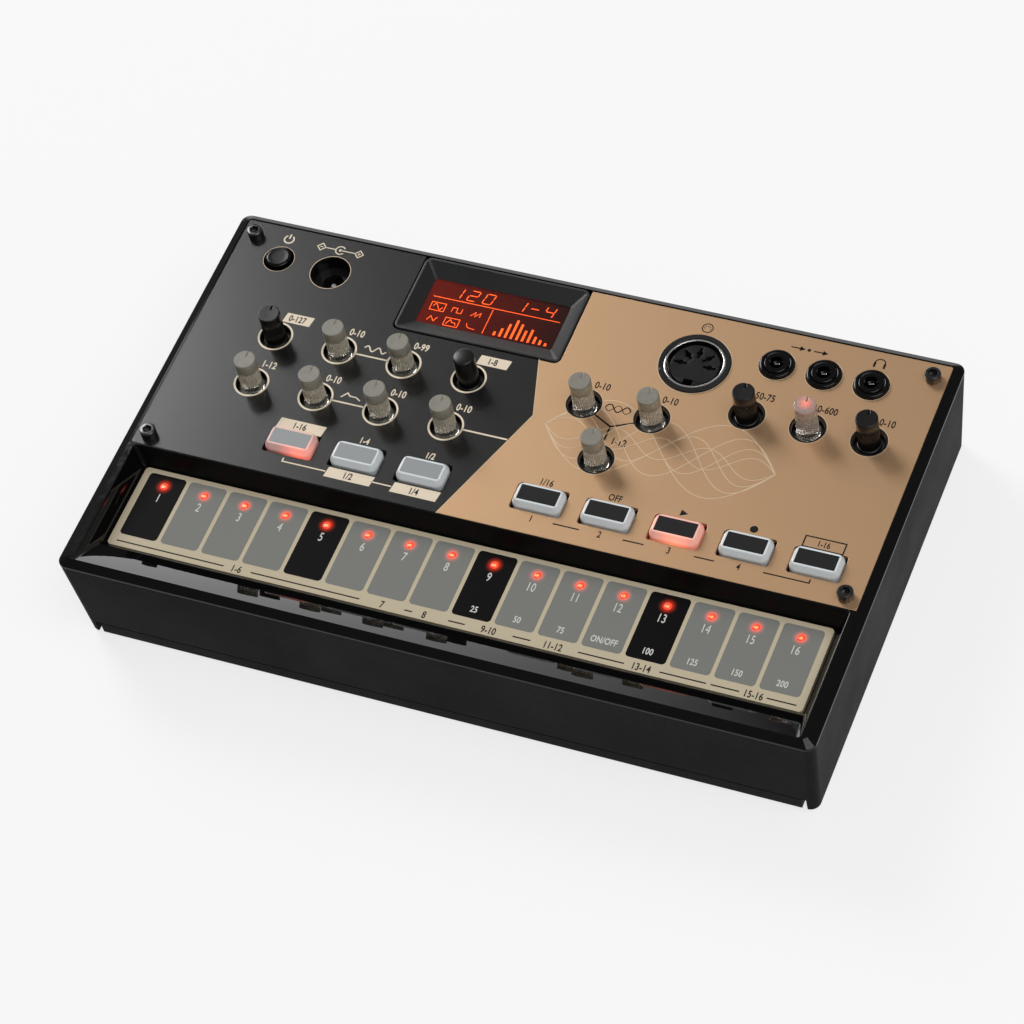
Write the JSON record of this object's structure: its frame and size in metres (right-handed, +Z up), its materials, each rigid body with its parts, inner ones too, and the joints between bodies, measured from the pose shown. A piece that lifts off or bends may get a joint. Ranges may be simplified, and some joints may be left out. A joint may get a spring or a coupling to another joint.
{
  "type": "drum machine",
  "caption": "Flat battery-powered drum machine: a control panel of small knobs, lit push buttons, a display and sockets above a sunken touch strip of numbered keys.",
  "frame": {"origin": "on the table under the middle of the case", "axes": "+X to the right along the long side, +Y from the front edge with the touch strip to the back edge with the sockets, +Z up"},
  "size_m": [0.193, 0.115, 0.039],
  "materials": {
    "case_plastic": "fine spark texture",
    "gloss_black": "polished",
    "panel_finish": "satin, printed in two tones",
    "bezel_plastic": "satin",
    "red_window": "polished",
    "display_face": "satin",
    "strip_film": "satin film",
    "led_red": "lit",
    "board_laminate": "satin",
    "flat_cable": "satin",
    "chip_plastic": "matte",
    "black_steel": "black oxide",
    "bright_steel": "plated",
    "foot_rubber": "matte",
    "cell_can": "sleeved",
    "dial_plastic": "moulded",
    "socket_plastic": "moulded",
    "contact_metal": "plated",
    "bright_shell": "plated",
    "cone_paper": "felted",
    "magnet_iron": "plated",
    "lead_sleeve": "satin",
    "black_knob": "satin",
    "clear_knob": "frosted, translucent",
    "clear_button": "frosted, translucent"
  },
  "bodies": {
    "case": {"battery_cells": "cell_can", "battery_contacts": "bright_steel", "board_components": "chip_plastic", "board_leds": "led_red", "bottom_plate": "case_plastic", "case_and_board_screws": "black_steel", "control_board": "board_laminate", "control_panel": "panel_finish", "dc_jack_body": "socket_plastic", "dc_jack_pin": "contact_metal", "din_socket_contacts": "contact_metal", "din_socket_housing": "socket_plastic", "din_socket_insert": "socket_plastic", "din_socket_shell": "bright_shell", "display_bezel": "bezel_plastic", "display_module": "display_face", "display_window": "red_window", "encoder_body": "dial_plastic", "internal_leads": "lead_sleeve", "lower_case": "case_plastic", "mini_jack_bodies": "gloss_black", "mini_jack_collars": "gloss_black", "mini_jack_contacts": "contact_metal", "panel_screws": "black_steel", "potentiometer_bodies": "dial_plastic", "push_switches": "dial_plastic", "rubber_feet": "foot_rubber", "speaker_cone": "cone_paper", "speaker_frame": "bright_steel", "speaker_magnet": "magnet_iron", "step_leds": "led_red", "top_frame": "gloss_black", "touch_board": "board_laminate", "touch_flex_cable": "flat_cable", "touch_strip": "strip_film", "tray_frame": "gloss_black"},
    "value_knob": {"value_knob": "black_knob"},
    "mod_amount_knob": {"mod_amount_knob": "clear_knob"},
    "mod_rate_knob": {"mod_rate_knob": "clear_knob"},
    "pitch_knob": {"pitch_knob": "clear_knob"},
    "attack_knob": {"attack_knob": "clear_knob"},
    "release_knob": {"release_knob": "clear_knob"},
    "send_knob": {"send_knob": "clear_knob"},
    "resonator_decay_knob": {"resonator_decay_knob": "clear_knob"},
    "resonator_body_knob": {"resonator_body_knob": "clear_knob"},
    "resonator_tune_knob": {"resonator_tune_knob": "clear_knob"},
    "swing_knob": {"swing_knob": "black_knob"},
    "tempo_knob": {"tempo_knob": "clear_knob"},
    "volume_knob": {"volume_knob": "black_knob"},
    "select_knob": {"select_knob": "black_knob"},
    "step_edit_button": {"step_edit_button": "clear_button"},
    "active_step_button": {"active_step_button": "clear_button"},
    "layer_button": {"layer_button": "clear_button"},
    "step_jump_button": {"step_jump_button": "clear_button"},
    "mute_button": {"mute_button": "clear_button"},
    "play_button": {"play_button": "clear_button"},
    "record_button": {"record_button": "clear_button"},
    "function_button": {"function_button": "clear_button"},
    "power_button": {"power_button": "black_knob"},
    "battery_cover": {"battery_cover": "case_plastic"}
  },
  "joints": [
    {"name": "value_knob_turn", "type": "hinge", "parent": "case", "child": "value_knob", "pos_m": [-0.0719, 0.0215, 0.03], "axis": [0, 0, 1], "range_deg": [-150, 150]},
    {"name": "mod_amount_knob_turn", "type": "hinge", "parent": "case", "child": "mod_amount_knob", "pos_m": [-0.0544, 0.0215, 0.03], "axis": [0, 0, 1], "range_deg": [-150, 150]},
    {"name": "mod_rate_knob_turn", "type": "hinge", "parent": "case", "child": "mod_rate_knob", "pos_m": [-0.0369, 0.0215, 0.03], "axis": [0, 0, 1], "range_deg": [-150, 150]},
    {"name": "pitch_knob_turn", "type": "hinge", "parent": "case", "child": "pitch_knob", "pos_m": [-0.0719, 0.0064, 0.03], "axis": [0, 0, 1], "range_deg": [-150, 150]},
    {"name": "attack_knob_turn", "type": "hinge", "parent": "case", "child": "attack_knob", "pos_m": [-0.0544, 0.0064, 0.03], "axis": [0, 0, 1], "range_deg": [-150, 150]},
    {"name": "release_knob_turn", "type": "hinge", "parent": "case", "child": "release_knob", "pos_m": [-0.0369, 0.0064, 0.03], "axis": [0, 0, 1], "range_deg": [-150, 150]},
    {"name": "send_knob_turn", "type": "hinge", "parent": "case", "child": "send_knob", "pos_m": [-0.0194, 0.0064, 0.03], "axis": [0, 0, 1], "range_deg": [-150, 150]},
    {"name": "resonator_decay_knob_turn", "type": "hinge", "parent": "case", "child": "resonator_decay_knob", "pos_m": [0.011, 0.0217, 0.03], "axis": [0, 0, 1], "range_deg": [-150, 150]},
    {"name": "resonator_body_knob_turn", "type": "hinge", "parent": "case", "child": "resonator_body_knob", "pos_m": [0.0286, 0.0217, 0.03], "axis": [0, 0, 1], "range_deg": [-150, 150]},
    {"name": "resonator_tune_knob_turn", "type": "hinge", "parent": "case", "child": "resonator_tune_knob", "pos_m": [0.0198, 0.0066, 0.03], "axis": [0, 0, 1], "range_deg": [-150, 150]},
    {"name": "swing_knob_turn", "type": "hinge", "parent": "case", "child": "swing_knob", "pos_m": [0.0504, 0.0288, 0.03], "axis": [0, 0, 1], "range_deg": [-150, 150]},
    {"name": "tempo_knob_turn", "type": "hinge", "parent": "case", "child": "tempo_knob", "pos_m": [0.0659, 0.0288, 0.03], "axis": [0, 0, 1], "range_deg": [-150, 150]},
    {"name": "volume_knob_turn", "type": "hinge", "parent": "case", "child": "volume_knob", "pos_m": [0.0813, 0.0288, 0.03], "axis": [0, 0, 1], "range_deg": [-150, 150]},
    {"name": "select_knob_turn", "type": "hinge", "parent": "case", "child": "select_knob", "pos_m": [-0.0194, 0.0215, 0.03], "axis": [0, 0, 1], "continuous": true},
    {"name": "step_edit_button_press", "type": "slide", "parent": "case", "child": "step_edit_button", "axis": [0, 0, -1], "range_m": [0, 0.0008], "stiffness_N_per_m": 2000},
    {"name": "active_step_button_press", "type": "slide", "parent": "case", "child": "active_step_button", "axis": [0, 0, -1], "range_m": [0, 0.0008], "stiffness_N_per_m": 2000},
    {"name": "layer_button_press", "type": "slide", "parent": "case", "child": "layer_button", "axis": [0, 0, -1], "range_m": [0, 0.0008], "stiffness_N_per_m": 2000},
    {"name": "step_jump_button_press", "type": "slide", "parent": "case", "child": "step_jump_button", "axis": [0, 0, -1], "range_m": [0, 0.0008], "stiffness_N_per_m": 2000},
    {"name": "mute_button_press", "type": "slide", "parent": "case", "child": "mute_button", "axis": [0, 0, -1], "range_m": [0, 0.0008], "stiffness_N_per_m": 2000},
    {"name": "play_button_press", "type": "slide", "parent": "case", "child": "play_button", "axis": [0, 0, -1], "range_m": [0, 0.0008], "stiffness_N_per_m": 2000},
    {"name": "record_button_press", "type": "slide", "parent": "case", "child": "record_button", "axis": [0, 0, -1], "range_m": [0, 0.0008], "stiffness_N_per_m": 2000},
    {"name": "function_button_press", "type": "slide", "parent": "case", "child": "function_button", "axis": [0, 0, -1], "range_m": [0, 0.0008], "stiffness_N_per_m": 2000},
    {"name": "power_button_press", "type": "slide", "parent": "case", "child": "power_button", "axis": [0, 0, -1], "range_m": [0, 0.0008], "stiffness_N_per_m": 2000},
    {"name": "battery_cover_slide", "type": "slide", "parent": "case", "child": "battery_cover", "axis": [-1, 0, 0], "range_m": [0, 0.09]}
  ]
}
